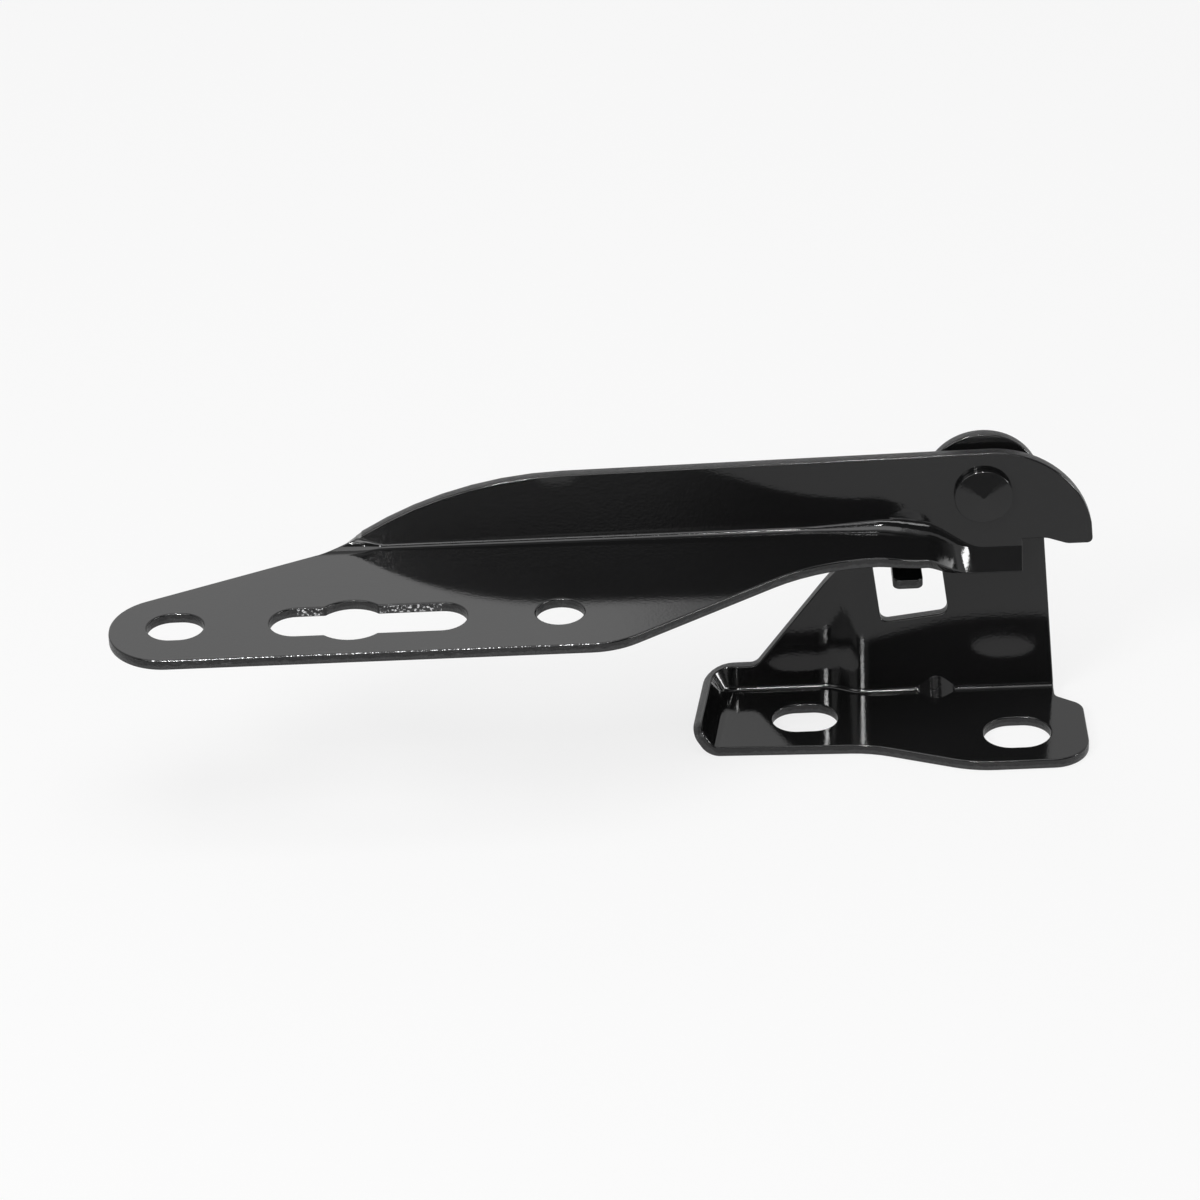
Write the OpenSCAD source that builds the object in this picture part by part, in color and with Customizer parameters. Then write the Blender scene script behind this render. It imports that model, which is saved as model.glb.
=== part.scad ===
// Bonnet hinge: a pressed steel bracket for the body and a pressed steel arm for the bonnet,
// which turn against each other on one riveted pivot.
// X runs along the arm towards the pivot end, Y away from the front and Z up, in millimetres.
// The origin lies on the bracket's seating face, midway between its two bolt slots.

/* [Sheet] */
// Thickness of the bracket and arm sheet
sheet_t = 2.3; // [1.8:0.1:2.8]
// Inner radius of the bends
bend_r = 1; // [0.8:0.1:1.6]

/* [Pivot] */
// Height of the pivot axis above the seating face
pivot_h = 52.9; // [50:0.1:58]
// Gap between the arm and the bracket web
leaf_gap = 1.2; // [0.9:0.1:1.8]
// Diameter of the rivet's running shank
shank_d = 8; // [7:0.1:9]
// Radial clearance of the shank in the bush
run_play = 0.05; // [0.03:0.01:0.08]
// Axial clearance at each end of the bush
end_play = 0.05; // [0.03:0.01:0.1]
// Wall of the bush
bush_wall = 1; // [0.8:0.1:1.4]
// How far the bush stands proud of the arm
bush_proud = 0.1; // [0.05:0.05:0.3]
// Diameter of the bush's flange
bush_flange_d = 16; // [14:0.5:20]
// Diameter of the rivet's head
head_d = 12.4; // [11.5:0.1:14]
// Height of the head at its rim
head_h = 1.3; // [1:0.1:2]
// Rise of the head's shallow cone
head_rise = 0.8; // [0.4:0.1:1.2]
// Diameter of the rivet's neck in the bracket
neck_d = 6.4; // [5:0.1:6.8]
// Diameter of the backing washer
washer_d = 15; // [13:0.5:18]
// Thickness of the backing washer
washer_t = 1.2; // [0.8:0.1:2]
// Diameter of the rear head, formed when the pivot is riveted
formed_d = 11; // [9:0.5:13]
// Height of the rear head
formed_h = 2.4; // [1.6:0.1:3]

/* [Bracket base] */
// Length of the heel slot, below the pivot
heel_slot_l = 14.5; // [12.5:0.1:17]
// Width of the heel slot
heel_slot_w = 11.9; // [9:0.1:12.2]
// Heel slot from the pivot, along the arm
heel_slot_x = 6.1; // [4:0.1:8]
// Heel slot from the web's face
heel_slot_y = 18.5; // [16:0.1:20]
// Length of the toe slot, beside the lip
toe_slot_l = 14.2; // [12:0.1:17]
// Width of the toe slot
toe_slot_w = 10.6; // [8:0.1:11]
// Toe slot from the heel slot, along the arm
slot_pitch = 45.1; // [42:0.1:47]
// Toe slot from the heel slot, across the arm
slot_step = 9.15; // [7.5:0.05:10]
// End of the base beyond the pivot
heel_end = 21.2; // [19:0.1:25]
// Front edge of the heel from the web's face
heel_depth = 29.9; // [28:0.1:34]
// Front edge of the waist from the web's face
waist_depth = 21.3; // [20:0.1:23]
// Front edge of the lip from the web's face
toe_depth = 20; // [18:0.1:22]
// Height of the dart's crest above the corner of the bend
dart_h = 2.5; // [2:0.1:3]
// Radius of the heel's front corners
heel_r = 8; // [5:0.5:9]
// Relief beside the web's heel edge, from the web's face
relief_depth = 4.2; // [4:0.1:5.5]
// Radius of the relief
relief_r = 2; // [1:0.5:2.5]
// Heel's rear corner from the web's face
shoulder_depth = 8.2; // [7.5:0.1:10]
// Radius of the heel's rear corner
shoulder_r = 4; // [2:0.5:4.5]
// Corner where the heel narrows to the waist, from the pivot
narrowing_x = 4; // [2:0.5:6]
// Corner where the waist begins, from the pivot
waist_x = 25.5; // [24:0.5:28]
// Radius of both waist corners
waist_r = 25; // [15:1:28]
// Width of the dart
dart_w = 11; // [9:0.5:12]
// Radius of the groove behind the dart
groove_r = 4.5; // [4:0.1:5.5]
// Dart from the pivot, along the arm
dart_x = 10; // [8:0.5:12]

/* [Bracket web] */
// Radius of the web's crown round the pivot
crown_r = 12.5; // [10:0.1:14]
// Foot of the web's heel edge from the pivot
web_heel = 15.5; // [14:0.1:17]
// Start of the joggle from the pivot
joggle_x = 24; // [23:0.1:26]
// Length of the joggle
joggle_run = 11.5; // [9:0.1:13]
// Depth of the joggle
joggle = 3.1; // [2:0.1:4]
// Upstand between the web's slanted edge and the lip's corner
upstand_l = 3.9; // [3.7:0.1:6]
// Radius at the foot of the slanted edge
slant_r = 2.5; // [1:0.5:6.5]
// Height of the upstand's top above the seating face
upstand_h = 8.1; // [7.5:0.1:10]
// Corner of the lip from the pivot
lip_x = 54.5; // [53:0.1:58]
// Radius of the lip's corner in plan
lip_corner_r = 2; // [1.5:0.1:3]
// Inner radius of the lip's bend
lip_r = 2.2; // [1:0.1:3]
// Length of the lip above its bend
lip_wall = 4.1; // [3.5:0.1:6]
// Angle of the lip's bend
lip_bend = 58; // [50:1:80]
// Splay of the lip in plan
lip_splay = 9; // [0:1:15]
// Radius of the lip's free top corner
lip_end_r = 4; // [2:0.5:5]
// Height left at the lip's free end, above its bend
lip_end_wall = 1.6; // [1:0.1:3]
// Width of the window
window_w = 14.6; // [12:0.1:16]
// Height of the window
window_h = 15.6; // [14:0.1:17]
// Tilt of the window
window_tilt = 7; // [0:1:9]
// Radius of the window's corners
window_r = 1.8; // [1:0.1:2.5]
// Width of the stop tab
tab_w = 6.4; // [5:0.1:8]
// Reach of the stop tab from the web's face
tab_reach = 8.2; // [6:0.1:9]
// Radius of the stop tab's corners
tab_r = 1.5; // [0.5:0.1:2]
// Top of the stop tab below the pivot axis
tab_drop = 17.7; // [17:0.1:19]
// Middle of the stop tab and its window from the pivot
tab_x = 16.4; // [16:0.1:18]

/* [Arm] */
// Top of the flange below the pivot axis
flange_drop = 7.15; // [6:0.05:8]
// Hole line of the flange from the bracket web's face
hole_line = 32.8; // [31:0.1:35]
// Diameter of the bolt hole
bolt_hole_d = 10.2; // [8:0.1:11]
// Bolt hole from the pivot
bolt_hole_x = 90.6; // [88:0.1:95]
// Adjusting hole from the bolt hole
hole_pitch = 80.3; // [76:0.1:82]
// Length of the adjusting hole
adjust_l = 12; // [11:0.1:14]
// Width of the adjusting hole
adjust_w = 10.35; // [8:0.05:10.9]
// Length of the long slot
long_slot_l = 41.4; // [36:0.1:46]
// Width of the long slot
long_slot_w = 11; // [8:0.1:12]
// Middle of the long slot from the bolt hole
long_slot_x = 40; // [38:0.1:42]
// Diameter of the long slot's round middle
long_slot_d = 15.6; // [14:0.1:18]
// Middle of the round part from the slot's middle
long_slot_off = 3.6; // [0:0.1:6]
// Tip of the flange from the pivot
tip_x = 184.8; // [183:0.1:190]
// Front edge of the flange from the bracket web's face
flange_depth = 46.3; // [44:0.1:50]
// Rear corner of the tip from the bracket web's face
tip_rear = 25.3; // [24:0.1:27]
// Straight length left at the end of the rounded tip
tip_flat = 0.6; // [0.2:0.1:4]
// Front edge of the flange's neck from the bracket web's face
neck_depth = 16.4; // [15:0.1:18]
// Corner where the flange narrows, from the pivot
narrow_x = 79; // [78:0.1:83]
// Corner where the neck begins, from the pivot
neck_x = 35.5; // [35:0.1:40]
// Radius of the corner where the flange narrows
narrow_r = 17; // [5:1:40]
// Radius of the corner where the neck begins
neck_r = 40; // [20:1:45]
// Radius of the web's rising front edge
nose_r = 83; // [80:1:95]
// Top of the rising edge from the pivot
nose_x = 88; // [86:0.1:92]
// Top of the rising edge above the pivot axis
nose_rise = 8.7; // [8:0.1:10]
// Stretch in which the flange's rear edge climbs the fold to the web
climb_l = 11; // [9:0.5:13]
// Swell of the fold at the nose, as a share of its swell at the run-out
nose_swell = 0.85; // [0.4:0.05:0.95]
// Stretch in which the fold tightens behind the nose
tighten_l = 4.5; // [3:0.5:8]
// Radius of the tail's outer edge
tail_r = 22; // [21:0.1:23]
// Middle of the tail's edge beyond the pivot
tail_x = 1.5; // [1:0.1:2.5]
// Middle of the tail's edge below the pivot axis
tail_drop = 12.1; // [11.5:0.1:13]
// Underside of the tail below the pivot axis
tail_under = 13.1; // [12.5:0.1:13.8]
// Step of the tail's underside above its lobe
tail_root = 1.6; // [1:0.1:2]
// Start of the tail's lobe beyond the pivot
tail_step = 13.5; // [12.5:0.1:14]
// Bottom of the tail's lobe beyond the pivot
tail_lobe = 18; // [17:0.1:18.5]
// Radius of the lobe's curves
tail_lobe_r = 4; // [2:0.5:5]
// Radius of the tail's lower tip
tail_tip_r = 1.2; // [0.8:0.1:1.6]
// Start of the fold's swell from the pivot
swell_start = 42; // [38:0.5:50]
// Inner radius to which the fold swells
run_r = 3; // [1.6:0.1:4]
// Start of the flange's run-out from the pivot
run_start = 23; // [21:0.1:24]
// End of the fold's first drop from the pivot
sink_end = 9; // [6:0.5:12]
// First drop of the fold, before the turn
run_sink = 2; // [1:0.1:2.5]
// Tilt of the flange before it turns
run_lean = 8; // [0:1:12]
// Stretch in which the neck narrows to the skirt
run_narrow = 18; // [9:0.5:20]
// Start of the turn into the skirt from the pivot
turn_start = 13; // [11:0.5:16]
// End of the turn beyond the pivot
turn_end = 0; // [0:0.1:3]
// Drop of the fold in the turn
turn_drop = 6.5; // [5:0.1:7.5]
// End of the flange's skirt beyond the pivot
skirt_end = 8.4; // [7:0.1:9]
// Height of the skirt
skirt_h = 5.7; // [4.5:0.1:6.2]
// Tilt of the skirt from level
skirt_tilt = 78; // [60:1:82]

/* [Hidden] */
$fn = 64;
// Degrees in each step of a rounded corner, and steps in each bend and in the run-out
arc_step = 5;
bend_steps = 8;
run_steps = 24;
// Overshoot of a cut past the sheet, and the least straight left beside a fillet
over = 1;
least_straight = 0.2;

// Places in the hinge's own lines: pivot at X = 0, web face at Y = 0, seating face at Z = 0
pivot_at = [slot_pitch / 2 - heel_slot_x, heel_slot_y - slot_step / 2, 0];
toe_slot_x = heel_slot_x - slot_pitch;
toe_slot_y = heel_slot_y - slot_step;
wall_foot = sheet_t + bend_r;
tall = pivot_h + crown_r;

// Arm levels
arm_back = -leaf_gap;
arm_face = arm_back - sheet_t;
flange_z = pivot_h - flange_drop;
flange_under = flange_z - sheet_t;
join_z = flange_z + run_r;

// Pivot stack
bush_bore_r = shank_d / 2 + run_play;
eye_r = bush_bore_r + bush_wall;
bush_front = arm_face - bush_proud;
bush_rear = -end_play;
head_y = bush_front - end_play;
formed_y = sheet_t + washer_t;

function spot(p) = [p[0], p[1]];
function unit(v) = v / norm(v);
function turned(v, a) = [v[0] * cos(a) - v[1] * sin(a), v[0] * sin(a) + v[1] * cos(a)];
function item(list, i) = list[(i + len(list)) % len(list)];
function reversed(list) = [for (i = [len(list) - 1 : -1 : 0]) list[i]];
function smooth(s) = s * s * (3 - 2 * s);
function blend(a, b, s) = a + (b - a) * s;
function eased(x, from, to) = smooth(min(1, max(0, (x - from) / (to - from))));
function arc(centre, r, a, b) =
    let (steps = ceil(abs(b - a) / arc_step))
    [for (i = [0 : steps]) centre + r * [cos(blend(a, b, i / steps)), sin(blend(a, b, i / steps))]];

// One corner of an outline, rounded to the radius that it carries
function corner(before, p, after) =
    p[2] == 0 ? [spot(p)] :
    let (
        u = unit(spot(before) - spot(p)),
        v = unit(spot(after) - spot(p)),
        half = acos(u * v) / 2,
        centre = spot(p) + unit(u + v) * p[2] / sin(half),
        from = spot(p) + u * p[2] / tan(half) - centre,
        to = spot(p) + v * p[2] / tan(half) - centre,
        turn = atan2(cross(from, to), from * to),
        steps = ceil(abs(turn) / arc_step)
    )
    [for (i = [0 : steps]) centre + turned(from, turn * i / steps)];

// Closed outline from corners given as [x, y, radius]
function rounded(path) =
    [for (i = [0 : len(path) - 1]) each corner(item(path, i - 1), path[i], item(path, i + 1))];

function plain(points) = [for (p = points) [p[0], p[1], 0]];

// Angle at which a line from a point touches a circle, on the chosen side
function touch(point, centre, r, side) =
    atan2(point[1] - centre[1], point[0] - centre[0]) + side * acos(r / norm(point - centre));

// Cross-section of a bend that starts level at [0, 0] and ends in a wall
function bend_arc(centre_z, r, angle) =
    [for (i = [0 : bend_steps]) let (a = angle * i / bend_steps) [r * sin(a), centre_z - r * cos(a)]];

function bend_section(r, angle, wall) =
    let (
        inner = bend_arc(sheet_t + r, r, angle),
        outer = bend_arc(sheet_t + r, r + sheet_t, angle),
        rise = wall * [cos(angle), sin(angle)]
    )
    concat(inner, [inner[bend_steps] + rise, outer[bend_steps] + rise], reversed(outer));

// Solid sheet through a row of like rings, each of which runs out along one face and back along the other
module loft(rings) {
    n = len(rings);
    m = len(rings[0]);
    sides = [for (i = [0 : n - 2], j = [0 : m - 1])
        let (a = i * m + j, b = i * m + (j + 1) % m)
        each [[a, b + m, b], [a, a + m, b + m]]];
    first = [for (j = [0 : m / 2 - 2]) each [[j, j + 1, m - 2 - j], [j, m - 2 - j, m - 1 - j]]];
    last = [for (face = first) [for (j = [2 : -1 : 0]) face[j] + (n - 1) * m]];
    polyhedron(points = [for (ring = rings) each ring], faces = concat(first, sides, last));
}

// Extrusion of a [y, z] outline along X, and of an [x, z] outline along Y
module along_x(from, to) translate([from, 0, 0]) rotate([90, 0, 90]) linear_extrude(to - from) children();
module along_y(from, to) translate([0, to, 0]) rotate([90, 0, 0]) linear_extrude(to - from) children();

// Round bar along Y at the pivot
module pivot_bar(r, from, to) translate([0, to, pivot_h]) rotate([90, 0, 0]) cylinder(h = to - from, r = r);

// Slot through level sheet, with true round ends
module slot_cut(x, y, z, length, width) {
    half = (length - width) / 2;
    translate([x, y, z - over]) {
        for (end = [-half, half]) translate([end, 0, 0]) cylinder(h = sheet_t + 2 * over, d = width);
        translate([-half, -width / 2, 0]) cube([2 * half, width, sheet_t + 2 * over]);
    }
}

// Bracket path in plan: [x, y, heading of the outward side] along the flat edge of the base
function heading(a) = [-sin(a), cos(a)];

// Joggle of the web at a share of its length: an S that starts and ends without a kink
function joggle_rise(s) = s * s * s * (10 - 15 * s + 6 * s * s);
function joggle_slope(s) = 30 * s * s * (1 - s) * (1 - s) * joggle / joggle_run;
function joggle_stop(s) =
    let (
        a = atan(joggle_slope(s)),
        flat = [-joggle_x - joggle_run * s, joggle * joggle_rise(s)] - bend_r * heading(-a)
    )
    [flat[0], flat[1], -a];

// Where the lip's corner begins, and where the web hands over to it a little before
lip_turn = 90 - lip_splay;
lip_start = [-lip_x + lip_corner_r * tan(lip_turn / 2), joggle - bend_r];
hand_over = 0.5;
web_end = lip_start + [hand_over, 0];

joggle_path = concat(
    [for (i = [0 : 2 * bend_steps]) joggle_stop(i / 2 / bend_steps)],
    [[web_end[0], web_end[1], 0]]
);

lip_centre = lip_start - [0, lip_corner_r];
lip_corner = [for (i = [0 : bend_steps])
    let (a = lip_turn * i / bend_steps, p = lip_centre + lip_corner_r * heading(a))
    [p[0], p[1], a]];
lip_run = -[cos(lip_turn), sin(lip_turn)];
lip_foot = spot(lip_corner[bend_steps]);
lip_length = (lip_foot[1] + toe_depth) / sin(lip_turn);
lip_tip = lip_foot + lip_length * lip_run;

function path_ring(stop, r, angle, wall) =
    [for (p = bend_section(r, angle, wall))
        let (side = heading(stop[2]))
        [stop[0] + p[0] * side[0], stop[1] + p[0] * side[1], p[1]]];

// Lip wall at a distance back from its front end, where its top corner is rounded off
function lip_wall_at(back) =
    back >= lip_end_r ? lip_wall :
    blend(lip_end_wall, lip_wall, sqrt(1 - pow(1 - back / lip_end_r, 2)));

// Distances back from the lip's free end, closest together where its corner is rounded
lip_backs = [for (i = [bend_steps : -1 : 0]) lip_end_r * (1 - cos(90 * i / bend_steps))];
lip_stops = [for (back = lip_backs) let (p = lip_tip - back * lip_run) [p[0], p[1], lip_turn]];

upstand_wall = upstand_h - wall_foot;
toe_rings = concat(
    [path_ring([web_end[0], web_end[1], 0], bend_r, 90, upstand_wall)],
    [for (i = [0 : bend_steps])
        let (s = smooth(i / bend_steps), wall = blend(upstand_wall, lip_wall, s))
        path_ring(lip_corner[i], blend(bend_r, lip_r, s), blend(90, lip_bend, s), wall)],
    [for (i = [0 : bend_steps]) path_ring(lip_stops[i], lip_r, lip_bend, lip_wall_at(lip_backs[i]))]
);

// Base outline: heel and waist, then back along the bends
base_outline = rounded(concat(
    [
        [web_heel, -bend_r, 0],
        [web_heel, -relief_depth, relief_r],
        [heel_end, -shoulder_depth, shoulder_r],
        [heel_end, -heel_depth, heel_r],
        [-narrowing_x, -heel_depth, waist_r],
        [-waist_x, -waist_depth, waist_r]
    ],
    plain(reversed(lip_stops)),
    plain(reversed(lip_corner)),
    plain(reversed(joggle_path))
));

// Web outline: heel edge, crown round the pivot, slanted edge and upstand
pivot_spot = [0, pivot_h];
slant_spot = [lip_start[0] + upstand_l, upstand_h];
crown = arc(pivot_spot, crown_r,
    touch([web_heel, wall_foot], pivot_spot, crown_r, 1),
    touch(slant_spot, pivot_spot, crown_r, -1) + 360);
web_outline = rounded(concat(
    [[web_heel, -over, 0], [web_heel, wall_foot, 0]],
    plain(crown),
    [[slant_spot[0], slant_spot[1], slant_r], [web_end[0], upstand_h, 0], [web_end[0], -over, 0]]
));

// Formed sheet of the bracket: level base, bend, joggled web and toe lip
module bracket_sheet() {
    linear_extrude(sheet_t) polygon(base_outline);
    intersection() {
        union() {
            along_x(-joggle_x, web_heel + over) translate([-bend_r, 0])
                polygon(bend_section(bend_r, 90, tall));
            loft([for (stop = joggle_path) path_ring(stop, bend_r, 90, tall)]);
        }
        along_y(-heel_depth, heel_depth) polygon(web_outline);
    }
    loft(toe_rings);
}

// Stiffening dart pressed through the bend: a slanted face that swells and fades along the bend
function dart_ring(u) =
    let (leg = blend(bend_r / 2, dart_h * sqrt(2), (1 + cos(180 * u)) / 2))
    [for (p = [
        [-leg, sheet_t],
        [-leg / 2, sheet_t + leg / 2],
        [0, sheet_t + leg],
        [sheet_t / 2, sheet_t + leg],
        [sheet_t / 2, sheet_t / 2],
        [-leg, sheet_t / 2]
    ]) [-dart_x - dart_w / 2 * u, p[0], p[1]]];

module dart() loft([for (i = [-bend_steps : bend_steps]) dart_ring(i / bend_steps)]);

// Groove behind the dart, as a slanted round bar one sheet below its face
module dart_groove() {
    depth = (groove_r + sheet_t - dart_h) / sqrt(2);
    translate([-dart_x, depth, sheet_t - depth]) rotate([-45, 0, 0])
        cylinder(h = 6 * groove_r, r = groove_r, center = true);
}

// Window behind the stop tab, from the tab's bend down
tab_z = pivot_h - tab_drop;
window_top = tab_z + bend_r;
module window_cut() {
    translate([-tab_x, 0, window_top]) along_y(-over, sheet_t + over) rotate(window_tilt)
        polygon(rounded([
            [-window_w / 2, 0, window_r],
            [window_w / 2, 0, window_r],
            [window_w / 2, -window_h, window_r],
            [-window_w / 2, -window_h, window_r]
        ]));
}

// Stop tab, bent forward out of the window
module stop_tab() {
    root = 2 * window_r;
    intersection() {
        along_x(-tab_x - tab_w / 2, -tab_x + tab_w / 2)
            translate([-bend_r, tab_z - sheet_t])
            polygon(concat(
                [[bend_r - tab_reach, sheet_t]],
                bend_section(bend_r, 90, root),
                [[bend_r - tab_reach, 0]]
            ));
        linear_extrude(tall) polygon(rounded([
            [-tab_x - tab_w / 2, -tab_reach, tab_r],
            [-tab_x + tab_w / 2, -tab_reach, tab_r],
            [-tab_x + tab_w / 2, sheet_t, 0],
            [-tab_x - tab_w / 2, sheet_t, 0]
        ]));
    }
}

module body_bracket() color("#1d1d1f") translate(pivot_at) difference() {
    union() {
        difference() {
            union() {
                bracket_sheet();
                dart();
            }
            dart_groove();
            window_cut();
        }
        stop_tab();
    }
    slot_cut(heel_slot_x, -heel_slot_y, 0, heel_slot_l, heel_slot_w);
    slot_cut(toe_slot_x, -toe_slot_y, 0, toe_slot_l, toe_slot_w);
    pivot_bar(neck_d / 2, -over, sheet_t + over);
}

// Arm outlines: the web seen from the front, and the flange in plan
nose_centre = [-nose_x, pivot_h + nose_rise - nose_r];
tail_centre = [tail_x, pivot_h - tail_drop];
tail_z = pivot_h - tail_under;
between = tail_centre - nose_centre;
top_angle = atan2(between[1], between[0]) + acos((nose_r - tail_r) / norm(between));
function nose_angle(z) = 180 - asin((z - nose_centre[1]) / nose_r);
nose_foot = nose_centre[0] + nose_r * cos(nose_angle(join_z));
tail_foot = tail_centre + tail_r * [cos(asin((tail_z - tail_centre[1]) / tail_r)), 0];

arm_web_outline = rounded(concat(
    [
        [skirt_end, join_z, 0],
        [skirt_end, tail_z + tail_root, 0],
        [tail_step, tail_z + tail_root, tail_lobe_r],
        [tail_lobe, tail_z, tail_lobe_r],
        [tail_foot[0], tail_z, tail_tip_r]
    ],
    plain(arc(tail_centre, tail_r, 2 * arc_step, top_angle)),
    plain(arc(nose_centre, nose_r, top_angle, nose_angle(join_z)))
));

// Fold of the arm at x: its radius and drop, the tilt of the flange and its reach beyond the fold
function sunk(x) = eased(x, -run_start, -sink_end);
function turn(x) = eased(x, -turn_start, turn_end);
function nose_share(x) = nose_swell * (1 - eased(x, nose_foot, tight_x));
function fold_r(x) = blend(bend_r, run_r, max(nose_share(x), eased(x, -swell_start, -turn_start)));
function fold_drop(x) = run_sink * sunk(x) + turn_drop * turn(x);
function fold_tilt(x) = run_lean * sunk(x) + (skirt_tilt - run_lean) * turn(x);
function fold_edge(x) = arm_face - fold_r(x);
function flange_reach(x) =
    blend(neck_depth + fold_edge(-run_start), skirt_h, eased(x, -run_start, run_narrow - run_start));

function fold_arc(centre, r, angle) =
    [for (i = [0 : bend_steps]) let (a = angle * i / bend_steps) centre + r * [cos(a), -sin(a)]];

// Ring of the fold alone, or with the flange beyond it
function fold_ring(x, reach) =
    let (
        r = fold_r(x),
        angle = 90 - fold_tilt(x),
        centre = [fold_edge(x), flange_z + r - fold_drop(x)],
        inner = fold_arc(centre, r, angle),
        outer = fold_arc(centre, r + sheet_t, angle),
        step = -reach * [sin(angle), cos(angle)],
        edge = reach > 0 ? [inner[bend_steps] + step, outer[bend_steps] + step] : [],
        section = concat([[arm_face, join_z]], inner, edge, reversed(outer), [[arm_back, join_z]])
    )
    [for (p = section) [x, p[0], p[1]]];

// Ring of the fold's nose end at a share of the way from the climbing edge to where the fold is tight
climb_x = nose_foot - climb_l;
tight_x = nose_foot + tighten_l;
function nose_x_at(i, s) = blend(blend(nose_foot, climb_x, i / bend_steps), tight_x, s);
function nose_point(i, s, wall) =
    let (x = nose_x_at(i, s), r = fold_r(x), a = 90 * i / bend_steps)
    [x, fold_edge(x) + (r + wall) * cos(a), flange_z + r - (r + wall) * sin(a)];
function nose_ring(s) = concat(
    [[nose_x_at(0, s), arm_face, join_z]],
    [for (i = [0 : bend_steps]) nose_point(i, s, 0)],
    [for (i = [bend_steps : -1 : 0]) nose_point(i, s, sheet_t)],
    [[nose_x_at(0, s), arm_back, join_z]]
);

nose_shares = [for (i = [0 : bend_steps]) i / bend_steps];
swell_stops = [for (i = [0 : run_steps]) blend(-swell_start, -run_start, i / run_steps)];
run_stops = concat([for (i = [0 : run_steps]) blend(-run_start, turn_end, i / run_steps)], [skirt_end]);

// Flange in plan, with a full-round tip and its rear edge along the fold
rear_rise = atan2(fold_edge(climb_x) + tip_rear, climb_x + tip_x);
tip_r = (flange_depth - tip_rear - tip_flat) / (1 + 1 / tan(45 + rear_rise / 2));
neck_turn = atan2(flange_depth - neck_depth, narrow_x - neck_x);
neck_fillet = min(neck_r, (neck_x - run_start - least_straight) / tan(neck_turn / 2));
flange_outline = rounded(concat(
    [
        [-run_start, -neck_depth, 0],
        [-neck_x, -neck_depth, neck_fillet],
        [-narrow_x, -flange_depth, narrow_r],
        [-tip_x, -flange_depth, tip_r],
        [-tip_x, -tip_rear, tip_r]
    ],
    plain([for (s = nose_shares) spot(nose_point(bend_steps, s, 0))]),
    [for (x = swell_stops) [x, fold_edge(x), 0]]
));

// Formed sheet of the arm: web, flange, fold, and the run-out in which the flange turns down into the skirt
module arm_sheet() {
    along_y(arm_face, arm_back) polygon(arm_web_outline);
    translate([0, 0, flange_under]) linear_extrude(sheet_t) polygon(flange_outline);
    loft(concat([for (s = nose_shares) nose_ring(s)], [for (x = swell_stops) fold_ring(x, 0)]));
    loft([for (x = run_stops) fold_ring(x, flange_reach(x))]);
}

module bonnet_arm() color("#202022") translate(pivot_at) difference() {
    arm_sheet();
    translate([-bolt_hole_x, -hole_line, flange_under - over])
        cylinder(h = sheet_t + 2 * over, d = bolt_hole_d);
    slot_cut(-bolt_hole_x - hole_pitch, -hole_line, flange_under, adjust_l, adjust_w);
    slot_cut(-bolt_hole_x - long_slot_x, -hole_line, flange_under, long_slot_l, long_slot_w);
    translate([-bolt_hole_x - long_slot_x - long_slot_off, -hole_line, flange_under - over])
        cylinder(h = sheet_t + 2 * over, d = long_slot_d);
    pivot_bar(eye_r, arm_face - over, arm_back + over);
}

// Rivet turned about the pivot axis: head, running shank, neck and formed rear head
module pivot_rivet() color("#232326") translate(pivot_at) translate([0, 0, pivot_h]) rotate([-90, 0, 0])
    rotate_extrude() polygon(concat(
        [
            [0, head_y - head_h - head_rise],
            [head_d / 2, head_y - head_h],
            [head_d / 2, head_y],
            [shank_d / 2, head_y],
            [shank_d / 2, 0],
            [neck_d / 2, 0],
            [neck_d / 2, formed_y]
        ],
        arc([0, formed_y + formed_h - formed_dome_r], formed_dome_r, formed_edge, 90)
    ));
formed_dome_r = (pow(formed_d / 2, 2) + pow(formed_h, 2)) / 2 / formed_h;
formed_edge = asin((formed_dome_r - formed_h) / formed_dome_r);

module pivot_bush() color("#6d6658") translate(pivot_at) difference() {
    union() {
        pivot_bar(eye_r, bush_front, bush_rear);
        pivot_bar(bush_flange_d / 2, arm_back, bush_rear);
    }
    pivot_bar(bush_bore_r, bush_front - over, bush_rear + over);
}

module pivot_washer() color("#2a2a2c") translate(pivot_at) difference() {
    pivot_bar(washer_d / 2, sheet_t, formed_y);
    pivot_bar(neck_d / 2, sheet_t - over, formed_y + over);
}

body_bracket();
bonnet_arm();
pivot_rivet();
pivot_bush();
pivot_washer();
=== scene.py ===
import math

import bmesh
import bpy
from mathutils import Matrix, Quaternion, Vector
from mathutils.bvhtree import BVHTree


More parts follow.
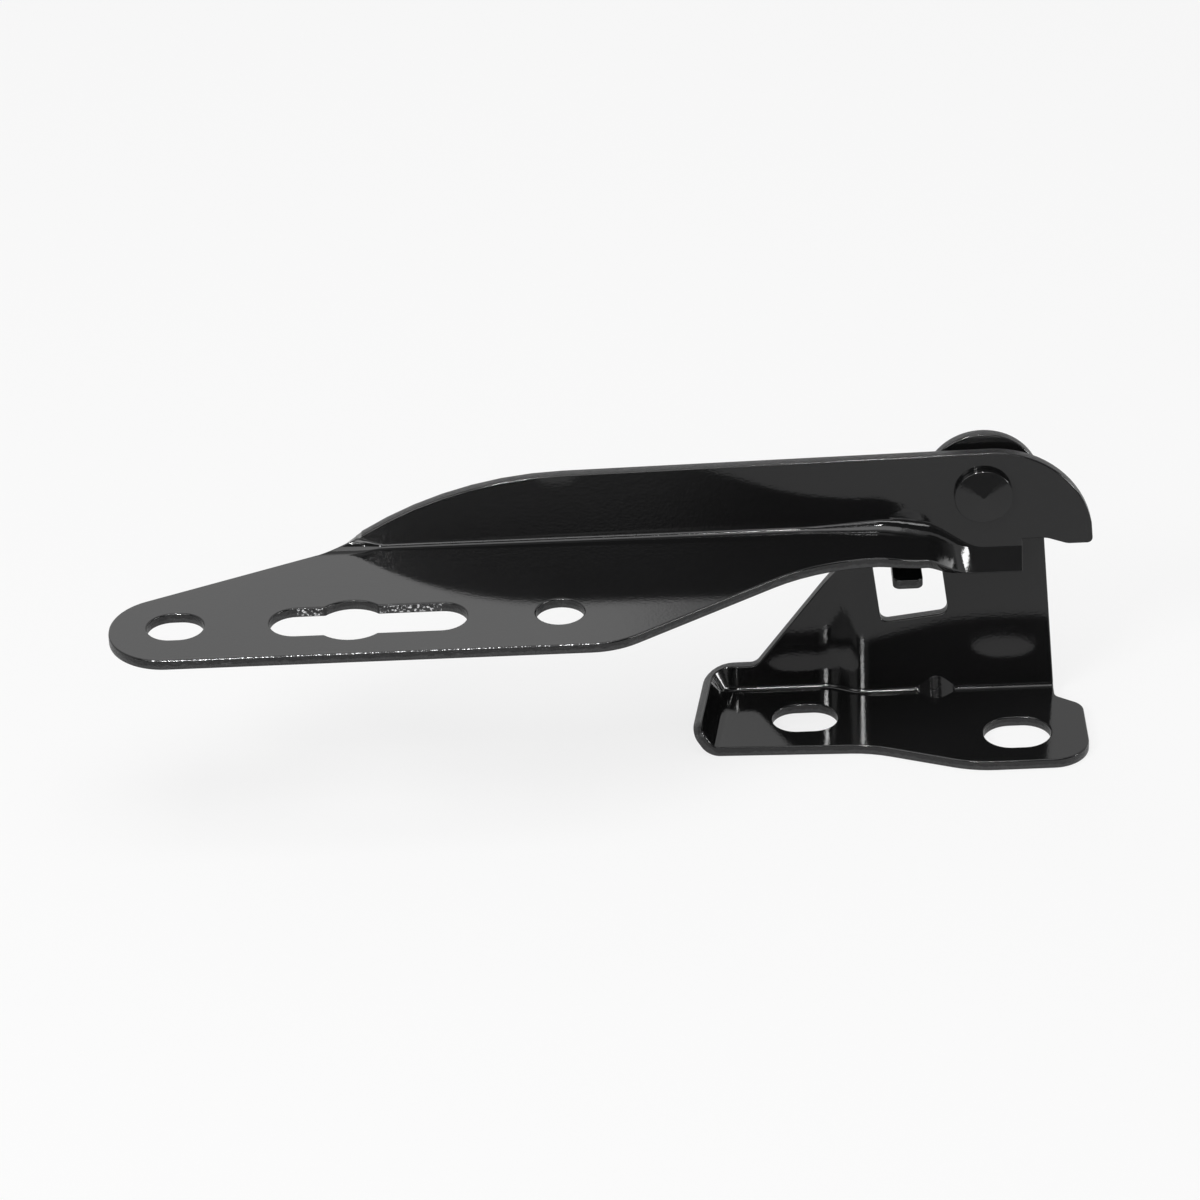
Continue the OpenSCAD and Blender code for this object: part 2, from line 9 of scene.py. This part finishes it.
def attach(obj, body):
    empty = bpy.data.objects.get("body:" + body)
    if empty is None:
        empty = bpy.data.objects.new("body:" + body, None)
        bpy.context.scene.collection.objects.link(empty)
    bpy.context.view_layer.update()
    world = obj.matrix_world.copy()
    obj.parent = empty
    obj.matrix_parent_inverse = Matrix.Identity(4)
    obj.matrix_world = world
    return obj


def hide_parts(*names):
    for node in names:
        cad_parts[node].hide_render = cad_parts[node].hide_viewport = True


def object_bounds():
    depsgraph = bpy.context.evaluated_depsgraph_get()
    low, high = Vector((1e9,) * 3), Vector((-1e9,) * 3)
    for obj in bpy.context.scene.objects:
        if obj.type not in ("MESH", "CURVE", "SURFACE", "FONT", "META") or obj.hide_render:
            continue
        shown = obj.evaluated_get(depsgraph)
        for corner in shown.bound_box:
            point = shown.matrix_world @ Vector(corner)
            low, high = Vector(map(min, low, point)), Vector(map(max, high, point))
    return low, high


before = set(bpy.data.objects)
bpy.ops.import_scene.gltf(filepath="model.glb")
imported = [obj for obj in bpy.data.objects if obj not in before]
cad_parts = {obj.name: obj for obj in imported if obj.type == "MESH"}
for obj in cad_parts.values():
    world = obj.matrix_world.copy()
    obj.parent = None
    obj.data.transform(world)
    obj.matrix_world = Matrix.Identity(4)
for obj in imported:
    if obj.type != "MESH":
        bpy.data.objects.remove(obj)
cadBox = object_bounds()
scene = bpy.context.scene
scene.view_settings.view_transform = "Standard"
mm = 0.001
print("frame:", ", ".join(sorted(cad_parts)))


# camera at the photograph's angle: square on to the webs, from above, with a slight roll
cameraSetup = {
    "target": (-0.06576, 0.013925, 0.02839),
    "elevation": 31.0,
    "roll": 2.3,
    "distance": 1.2,
    "lens": 167.4,
    "sensor": 36.0,
    "clip": (0.01, 50.0),
}


def makeCamera(setup):
    data = bpy.data.cameras.new("photoCamera")
    data.lens = setup["lens"]
    data.sensor_width = setup["sensor"]
    data.clip_start, data.clip_end = setup["clip"]
    camera = bpy.data.objects.new("photoCamera", data)
    scene.collection.objects.link(camera)
    tilt = math.radians(setup["elevation"])
    back = Vector((0.0, -math.cos(tilt), math.sin(tilt)))
    roll = Quaternion((0.0, 0.0, 1.0), -math.radians(setup["roll"]))
    camera.location = Vector(setup["target"]) + back * setup["distance"]
    camera.rotation_mode = "QUATERNION"
    camera.rotation_quaternion = back.to_track_quat("Z", "Y") @ roll
    scene.camera = camera


makeCamera(cameraSetup)
print("camera placed")


# node helpers
noiseSpan = (0.3, 0.7)  # most values of a noise texture lie between these


def addNode(tree, kind, place, **values):
    node = tree.nodes.new(kind)
    node.location = place
    for key, value in values.items():
        setattr(node, key, value)
    return node


def setInputs(node, **values):
    for key, value in values.items():
        node.inputs[key.replace("_", " ")].default_value = value


def noiseTexture(tree, place, coords, scale, detail=2.0, rough=0.5):
    noise = addNode(tree, "ShaderNodeTexNoise", place)
    setInputs(noise, Scale=scale, Detail=detail, Roughness=rough)
    tree.links.new(coords, noise.inputs["Vector"])
    return noise.outputs["Fac"]


def rangeOf(tree, place, value, low, high, toLow, toHigh):
    node = addNode(tree, "ShaderNodeMapRange", place, clamp=True)
    setInputs(node, From_Min=low, From_Max=high, To_Min=toLow, To_Max=toHigh)
    tree.links.new(value, node.inputs["Value"])
    return node.outputs["Result"]


def combine(tree, place, operation, first, second):
    node = addNode(tree, "ShaderNodeMath", place, operation=operation)
    for socket, value in zip(node.inputs, (first, second)):
        if isinstance(value, (int, float)):
            socket.default_value = value
        else:
            tree.links.new(value, socket)
    return node.outputs["Value"]


def blendColour(tree, place, share, first, second):
    node = addNode(tree, "ShaderNodeMix", place, data_type="RGBA")
    tree.links.new(share, node.inputs["Factor"])
    for socket, value in ((node.inputs["A"], first), (node.inputs["B"], second)):
        if isinstance(value, tuple):
            socket.default_value = (*value, 1.0)
        else:
            tree.links.new(value, socket)
    return node.outputs["Result"]


def bumpFrom(tree, place, height, distance):
    bump = addNode(tree, "ShaderNodeBump", place)
    setInputs(bump, Strength=1.0, Distance=distance)
    tree.links.new(height, bump.inputs["Height"])
    return bump


# black dip coat over pressed steel: glossy faces, dull sheared edges in two bands,
# bare metal on tears, and bare specks on the burr that double as a painted highlight along that edge
def dipCoat(name, setup):
    material = bpy.data.materials.new(name)
    material.use_nodes = True
    tree = material.node_tree
    tree.nodes.clear()
    output = addNode(tree, "ShaderNodeOutputMaterial", (1400, 0))
    shader = addNode(tree, "ShaderNodeBsdfPrincipled", (1100, 0))
    shader.inputs["IOR"].default_value = setup["ior"]
    tree.links.new(shader.outputs["BSDF"], output.inputs["Surface"])
    coords = addNode(tree, "ShaderNodeTexCoord", (-1200, 0)).outputs["Object"]
    marks = {}
    for row, mark in enumerate(("sheared", "burrGlint", "torn", "side")):
        marks[mark] = addNode(
            tree, "ShaderNodeAttribute", (-1200, -300 - 200 * row), attribute_name=mark).outputs["Fac"]

    # sheared edges: a smooth band where the punch went in, a pale broken band where the sheet tore off
    ragged = noiseTexture(tree, (-900, 600), coords, setup["bandScale"], detail=3.0, rough=0.6)
    shift = rangeOf(tree, (-700, 600), ragged, *noiseSpan, -setup["bandRagged"], setup["bandRagged"])
    shifted = combine(tree, (-500, 600), "ADD", marks["side"], shift)
    tornBand = rangeOf(tree, (-300, 600), shifted, setup["bandFrom"], setup["bandTo"], 1.0, 0.0)

    # bare metal: specks along the burr, which also paint the highlight line of that rolled edge; patches
    # on the long walls of the keyhole
    specks = noiseTexture(tree, (-900, 300), coords, setup["speckScale"], detail=3.0, rough=0.7)
    speckShare = rangeOf(tree, (-700, 300), specks, setup["speckFrom"], setup["speckTo"], 0.0, 1.0)
    patchNoise = noiseTexture(tree, (-900, 100), coords, setup["bareScale"], detail=3.0, rough=0.6)
    patchShare = rangeOf(tree, (-700, 100), patchNoise, setup["bareFrom"], setup["bareTo"], 0.0, 1.0)
    burrGlintBare = combine(tree, (-500, 300), "MULTIPLY", speckShare, marks["burrGlint"])
    wallBare = combine(tree, (-500, 100), "MULTIPLY", patchShare, marks["torn"])
    bareAndGlint = combine(tree, (-100, 200), "MAXIMUM", burrGlintBare, wallBare)

    # colour: nearly black with a faint mottle, greyer on the edges
    mottle = noiseTexture(tree, (-900, 900), coords, setup["mottleScale"], detail=4.0, rough=0.6)
    coat = blendColour(tree, (-100, 900), mottle, setup["coatLow"], setup["coatHigh"])
    edge = blendColour(tree, (-100, 700), tornBand, setup["edgeSmooth"], setup["edgeTorn"])
    covered = blendColour(tree, (100, 800), marks["sheared"], coat, edge)
    colour = blendColour(tree, (300, 700), bareAndGlint, covered, setup["bareAndGlint"])
    tree.links.new(colour, shader.inputs["Base Color"])
    metal = combine(tree, (300, 400), "MULTIPLY", bareAndGlint, setup["bareMetal"])
    tree.links.new(metal, shader.inputs["Metallic"])

    # roughness: slow change over the faces, duller where the sheet was sheared
    slow = noiseTexture(tree, (-900, -100), coords, setup["slowScale"], detail=3.0, rough=0.55)
    faceRough = rangeOf(tree, (-700, -100), slow, *noiseSpan, setup["roughLow"], setup["roughHigh"])
    edgeRough = combine(tree, (-300, -250), "MULTIPLY", marks["sheared"], setup["shearedRough"])
    bareRough = combine(tree, (-300, -400), "MULTIPLY", bareAndGlint, setup["bareRough"])
    covering = combine(tree, (-100, -100), "ADD", faceRough, edgeRough)
    roughness = combine(tree, (100, -100), "ADD", covering, bareRough)
    tree.links.new(roughness, shader.inputs["Roughness"])

    # relief: fine orange peel on the coat, coarse torn grain on the sheared edges
    peel = noiseTexture(tree, (-900, -700), coords, setup["peelScale"])
    tear = noiseTexture(tree, (-900, -900), coords, setup["tearScale"], detail=4.0, rough=0.65)
    tearShare = combine(tree, (-300, -900), "MULTIPLY", tear, marks["sheared"])
    peelBump = bumpFrom(tree, (600, -400), peel, setup["peelHeight"])
    tearBump = bumpFrom(tree, (800, -500), tearShare, setup["tearHeight"])
    tree.links.new(peelBump.outputs["Normal"], tearBump.inputs["Normal"])
    tree.links.new(tearBump.outputs["Normal"], shader.inputs["Normal"])
    return material


# turned bronze of the bush, with fine tool marks round its axis
def turnedBronze(name, setup):
    material = bpy.data.materials.new(name)
    material.use_nodes = True
    tree = material.node_tree
    shader = tree.nodes["Principled BSDF"]
    setInputs(shader, Metallic=1.0)
    coords = addNode(tree, "ShaderNodeTexCoord", (-900, 0)).outputs["Object"]
    stain = noiseTexture(tree, (-600, 200), coords, setup["stainScale"], detail=4.0, rough=0.6)
    colour = blendColour(tree, (-300, 200), stain, setup["pale"], setup["dark"])
    roughness = rangeOf(tree, (-300, 0), stain, *noiseSpan, setup["roughLow"], setup["roughHigh"])
    tree.links.new(colour, shader.inputs["Base Color"])
    tree.links.new(roughness, shader.inputs["Roughness"])
    marks = addNode(tree, "ShaderNodeTexWave", (-600, -300), bands_direction="Y")
    setInputs(marks, Scale=setup["markScale"], Distortion=setup["markWaver"], Detail=2.0)
    tree.links.new(coords, marks.inputs["Vector"])
    bump = bumpFrom(tree, (-300, -300), marks.outputs["Fac"], setup["markHeight"])
    tree.links.new(bump.outputs["Normal"], shader.inputs["Normal"])
    return material


# a piece made from a solid of the frame: edges rolled over, sheared faces marked for the coat, and burr
# faces marked for bare specks that double as a painted highlight
def rolledPiece(name, node, setup):
    shape = bmesh.new()
    shape.from_mesh(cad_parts[node].data)
    bmesh.ops.remove_doubles(shape, verts=shape.verts, dist=setup["weld"])
    bmesh.ops.dissolve_limit(
        shape, angle_limit=math.radians(setup["flat"]), verts=shape.verts, edges=shape.edges)
    shape.normal_update()
    sheared = shape.faces.layers.float.new("sheared")
    torn = shape.faces.layers.float.new("torn")
    burrGlint = shape.faces.layers.float.new("burrGlint")
    side = shape.verts.layers.float.new("side")
    markSheared(shape, sheared, torn, side, setup)
    points = [vert for vert in shape.verts if len(vert.link_faces) > setup["pointFaces"]]
    if setup["blunt"] > 0.0 and points:
        bmesh.ops.bevel(
            shape, geom=points, offset=setup["blunt"], offset_type="OFFSET", segments=1, affect="VERTICES")
    rolled = bmesh.ops.bevel(
        shape, geom=rolledEdges(shape, setup), offset=setup["roll"], offset_type="OFFSET",
        segments=setup["steps"], profile=0.5, affect="EDGES", clamp_overlap=False, harden_normals=False)
    shape.normal_update()
    # rolled faces carry no sheared marks; the burr faces among them are arrises facing front and up, whose
    # bare specks paint a highlight along the edge
    for face in rolled["faces"]:
        face[sheared] = 0.0
        face[torn] = 0.0
        lowest, highest = setup["burrGlintFacing"]
        ahead = face.calc_center_median().y < setup["burrGlintAhead"]
        arris = lowest < face.normal.y < highest and abs(face.normal.x) < setup["burrGlintAcross"]
        if ahead and arris and min(vert[side] for vert in face.verts) > 0.5:
            face[burrGlint] = 1.0
    mesh = bpy.data.meshes.new(name)
    shape.to_mesh(mesh)
    shape.free()
    mesh.shade_smooth()
    mesh.set_sharp_from_angle(angle=math.radians(setup["crease"]))
    piece = bpy.data.objects.new(name, mesh)
    scene.collection.objects.link(piece)
    normals = piece.modifiers.new("evenNormals", "WEIGHTED_NORMAL")
    normals.keep_sharp = True
    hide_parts(node)
    return piece


# outward edges that roll over, without those at a narrow corner or round a face too shallow for the roll
def rolledEdges(shape, setup):
    sharp = {edge for edge in shape.edges
             if edge.is_manifold and edge.calc_face_angle() > math.radians(setup["sharp"])}
    least = setup["roll"] * setup["ledge"]
    crowded = set()
    for face in shape.faces:
        if any(edge in sharp and face.calc_area() < edge.calc_length() * least for edge in face.edges):
            crowded.update(face.edges)
        for loop in face.loops:
            pair = {loop.edge, loop.link_loop_prev.edge}
            if pair <= sharp and loop.calc_angle() < math.radians(setup["narrow"]):
                crowded |= pair
    return [edge for edge in shape.edges
            if edge in sharp and edge not in crowded and edge.calc_face_angle_signed() > 0.0]


# a face is sheared where the metal behind it is deeper than the sheet is thick, and torn where it is
# the long wall of a hole, seen from the front; side is 1 on the front or top skin and 0 on the other
def markSheared(shape, sheared, torn, side, setup):
    tree = BVHTree.FromBMesh(shape)
    largest = {}
    for loops in shape.calc_loop_triangles():
        corners = [loop.vert.co for loop in loops]
        area = (corners[1] - corners[0]).cross(corners[2] - corners[0]).length
        face = loops[0].face
        if area > largest.get(face, (0.0, None))[0]:
            largest[face] = (area, sum(corners, Vector()) / 3)
    for face, (_, middle) in largest.items():
        offset = face.normal * setup["probe"]
        behind = tree.ray_cast(middle - offset, -face.normal, setup["reach"])[3]
        face[sheared] = 1.0 if behind is not None and behind > setup["thick"] else 0.0
        ahead = tree.ray_cast(middle + offset, face.normal, setup["holeSpan"])[3]
        long = face.normal.y < setup["wallFacing"] and face.calc_area() > setup["wallArea"]
        face[torn] = 1.0 if face[sheared] > 0.5 and long and ahead is not None else 0.0
    lean = Vector((0.0, -1.0, 1.0))
    for vert in shape.verts:
        skins = [face.normal.dot(lean) for face in vert.link_faces if face[sheared] < 0.5]
        vert[side] = 0.5 if not skins else 1.0 if sum(skins) > 0.0 else 0.0


sheetSetup = {
    "weld": 0.001 * mm,
    "flat": 0.5,  # degrees, faces flatter than this are joined
    "probe": 0.01 * mm,
    "reach": 200.0 * mm,
    "thick": 4.2 * mm,  # more metal than this behind a face means that it was sheared
    "holeSpan": 25.0 * mm,
    "wallArea": 9.0 * mm * mm,
    "wallFacing": -0.99,
    "sharp": 35.0,  # degrees
    "narrow": 20.0,  # degrees
    "ledge": 1.2,  # least depth of a face behind a rolled edge, in rolls
    "roll": 0.32 * mm,
    "steps": 3,
    "crease": 40.0,  # degrees
    # burr faces, whose bare specks paint a highlight: ahead of the first line, with normals facing front
    # and up within the next two
    "burrGlintAhead": -1.0,  # burrs show in front of this; here, nowhere
    "burrGlintFacing": (-0.9, -0.4),
    "burrGlintAcross": 0.2,
    "pointFaces": 12,  # a corner of more faces is the point of a cone
    "blunt": 0.0,
}

# noise scales are in waves per metre
coatSetup = {
    "ior": 1.395,
    "coatLow": (0.0076, 0.0076, 0.0078),
    "coatHigh": (0.0104, 0.0104, 0.0107),
    "edgeSmooth": (0.01, 0.01, 0.0105),
    "edgeTorn": (0.035, 0.035, 0.036),
    "bareAndGlint": (0.62, 0.62, 0.63),
    "bareMetal": 0.85,
    "bareRough": 0.2,
    "bareScale": 1200.0,
    "bareFrom": 0.52,
    "bareTo": 0.62,
    "bandScale": 500.0,
    "bandRagged": 0.14,
    "bandFrom": 0.4,
    "bandTo": 0.52,
    "mottleScale": 60.0,
    "slowScale": 45.0,
    "roughLow": 0.07,
    "roughHigh": 0.095,
    "shearedRough": 0.28,
    "speckScale": 2200.0,
    "speckFrom": 0.53,
    "speckTo": 0.6,
    "peelScale": 1800.0,
    "peelHeight": 0.012 * mm,
    "tearScale": 1500.0,
    "tearHeight": 0.25 * mm,
}

blackCoat = dipCoat("blackDipCoat", coatSetup)

bracket = rolledPiece("bracket_pressing", "body_bracket", sheetSetup)
bracket.data.materials.append(blackCoat)
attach(bracket, "bracket")
print("bracket pressing:", len(bracket.data.polygons), "faces")

# the burr specks on the flange's front edge also paint the highlight seen along it
armSetup = dict(sheetSetup, burrGlintAhead=-30.0 * mm)  # only the flange's front edge keeps its burr
arm = rolledPiece("arm_pressing", "bonnet_arm", armSetup)
arm.data.materials.append(blackCoat)
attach(arm, "arm")
print("arm pressing:", len(arm.data.polygons), "faces")

# turned pieces of the pivot, with no sheared faces and a finer roll
turnedSetup = dict(sheetSetup, roll=0.12 * mm, thick=1.0, blunt=0.25 * mm)

bronzeSetup = {
    "pale": (0.55, 0.36, 0.17),
    "dark": (0.36, 0.22, 0.1),
    "stainScale": 300.0,
    "roughLow": 0.28,
    "roughHigh": 0.45,
    "markScale": 900.0,
    "markWaver": 1.5,
    "markHeight": 0.006 * mm,
}

rivet = rolledPiece("rivet_turned", "pivot_rivet", turnedSetup)
rivet.data.materials.append(blackCoat)
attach(rivet, "bracket")

washer = rolledPiece("washer_pressed", "pivot_washer", turnedSetup)
washer.data.materials.append(blackCoat)
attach(washer, "bracket")

bush = rolledPiece("bush_turned", "pivot_bush", turnedSetup)
bush.data.materials.append(turnedBronze("turnedBronze", bronzeSetup))
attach(bush, "arm")
print("pivot pieces made")


# white seen by the eye and in reflections, by the kind of ray
def seenShare(tree, place):
    path = addNode(tree, "ShaderNodeLightPath", place)
    share = path.outputs["Is Camera Ray"]
    for column, kind in enumerate(("Is Glossy Ray", "Is Transmission Ray"), 1):
        share = combine(tree, (place[0] + 200 * column, place[1]), "MAXIMUM", share, path.outputs[kind])
    return share


# plain white floor at the seating face, which keeps a faint shadow
floorSetup = {"size": 12.0, "colour": (0.9, 0.9, 0.9), "lift": 0.78, "below": 0.05 * mm}


def makeFloor(setup):
    half = setup["size"] / 2
    mesh = bpy.data.meshes.new("floor")
    corners = [(-half, -half, 0.0), (half, -half, 0.0), (half, half, 0.0), (-half, half, 0.0)]
    mesh.from_pydata(corners, [], [(0, 1, 2, 3)])
    floor = bpy.data.objects.new("floor", mesh)
    floor.location.z = cadBox[0].z - setup["below"]
    scene.collection.objects.link(floor)
    material = bpy.data.materials.new("paleFloor")
    material.use_nodes = True
    tree = material.node_tree
    tree.nodes.clear()
    output = addNode(tree, "ShaderNodeOutputMaterial", (600, 0))
    paper = addNode(tree, "ShaderNodeBsdfDiffuse", (0, 0))
    setInputs(paper, Color=(*setup["colour"], 1.0))
    white = addNode(tree, "ShaderNodeEmission", (0, -200))
    setInputs(white, Color=(1.0, 1.0, 1.0, 1.0), Strength=1.0)
    mix = addNode(tree, "ShaderNodeMixShader", (300, 0))
    lift = combine(tree, (0, 200), "MULTIPLY", seenShare(tree, (-600, 200)), setup["lift"])
    tree.links.new(lift, mix.inputs["Fac"])
    tree.links.new(paper.outputs["BSDF"], mix.inputs[1])
    tree.links.new(white.outputs["Emission"], mix.inputs[2])
    tree.links.new(mix.outputs["Shader"], output.inputs["Surface"])
    mesh.materials.append(material)


makeFloor(floorSetup)

# cards in front, seen only in reflections: a low grey one, and the dark end of the room behind the camera
lowCard = {"name": "lowCard", "front": 0.126, "width": 0.9, "height": 0.055, "grey": 0.35}
darkWall = {"name": "darkWall", "front": 1.7, "width": 6.0, "height": 3.2, "grey": 0.03}


def makeCard(setup):
    half = setup["width"] / 2
    mesh = bpy.data.meshes.new(setup["name"])
    top = setup["height"]
    corners = [(-half, 0.0, 0.0), (half, 0.0, 0.0), (half, 0.0, top), (-half, 0.0, top)]
    mesh.from_pydata(corners, [], [(0, 1, 2, 3)])
    card = bpy.data.objects.new(setup["name"], mesh)
    card.location = (0.0, -setup["front"], cadBox[0].z)
    card.visible_camera = False
    card.visible_diffuse = False
    card.visible_shadow = False
    card.visible_transmission = False
    scene.collection.objects.link(card)
    material = bpy.data.materials.new(setup["name"])
    material.use_nodes = True
    shader = material.node_tree.nodes["Principled BSDF"]
    setInputs(shader, Base_Color=(setup["grey"], setup["grey"], setup["grey"], 1.0), Roughness=1.0)
    mesh.materials.append(material)


makeCard(lowCard)
makeCard(darkWall)

# white room; lamps by azimuth from the front towards the right, elevation, distance, size and radiance
roomSetup = {"seen": 1.0, "diffuse": 0.3}
lampAim = Vector((-0.07, 0.0, 0.04))
lampSetups = {
    "topBox": {
        "azimuth": 0.0, "elevation": 78.0, "distance": 1.3, "size": (1.0, 0.9), "radiance": 2.8},
    "backBox": {
        "azimuth": 196.0, "elevation": 31.0, "distance": 1.5, "size": (0.8, 0.8), "radiance": 0.72},
    "frontBox": {
        "azimuth": -4.0, "elevation": 26.9, "distance": 1.3, "size": (0.26, 0.16), "radiance": 6.0},
    "leftBox": {
        "azimuth": -42.0, "elevation": 38.0, "distance": 1.3, "size": (0.5, 0.35), "radiance": 8.0},
}
# small bright lamps that only show in the gloss
glintSetups = {
    "leftGlint": {
        "azimuth": -12.0, "elevation": 32.4, "distance": 1.35, "size": (0.19, 0.035), "radiance": 650.0},
    "lowGlint": {
        "azimuth": -8.0, "elevation": 13.0, "distance": 1.1, "size": (1.3, 0.25), "radiance": 8.0},
    "bendGlint": {
        "azimuth": 7.5, "elevation": 50.0, "distance": 1.3, "size": (0.06, 0.05), "radiance": 380.0},
    "rightGlint": {
        "azimuth": 64.0, "elevation": 7.0, "distance": 0.9, "size": (0.45, 0.09), "radiance": 36.0},
}


def makeRoom(setup):
    world = bpy.data.worlds.new("whiteRoom")
    world.use_nodes = True
    tree = world.node_tree
    background = tree.nodes["Background"]
    setInputs(background, Color=(1.0, 1.0, 1.0, 1.0))
    seen = seenShare(tree, (-900, 0))
    strength = rangeOf(tree, (-300, 0), seen, 0.0, 1.0, setup["diffuse"], setup["seen"])
    tree.links.new(strength, background.inputs["Strength"])
    scene.world = world


def makeLamp(name, setup):
    data = bpy.data.lights.new(name, "AREA")
    data.shape = "RECTANGLE"
    data.size, data.size_y = setup["size"]
    data.energy = setup["radiance"] * math.pi * data.size * data.size_y
    lamp = bpy.data.objects.new(name, data)
    turn = math.radians(setup["azimuth"])
    rise = math.radians(setup["elevation"])
    level = math.cos(rise)
    away = Vector((math.sin(turn) * level, -math.cos(turn) * level, math.sin(rise)))
    lamp.location = lampAim + away * setup["distance"]
    lamp.rotation_mode = "QUATERNION"
    lamp.rotation_quaternion = away.to_track_quat("Z", "Y")
    lamp.visible_camera = False
    scene.collection.objects.link(lamp)
    return lamp


makeRoom(roomSetup)
for lampName, lampSetup in lampSetups.items():
    makeLamp(lampName, lampSetup)
for glintName, glintSetup in glintSetups.items():
    makeLamp(glintName, glintSetup).visible_diffuse = False
print("floor and light set")
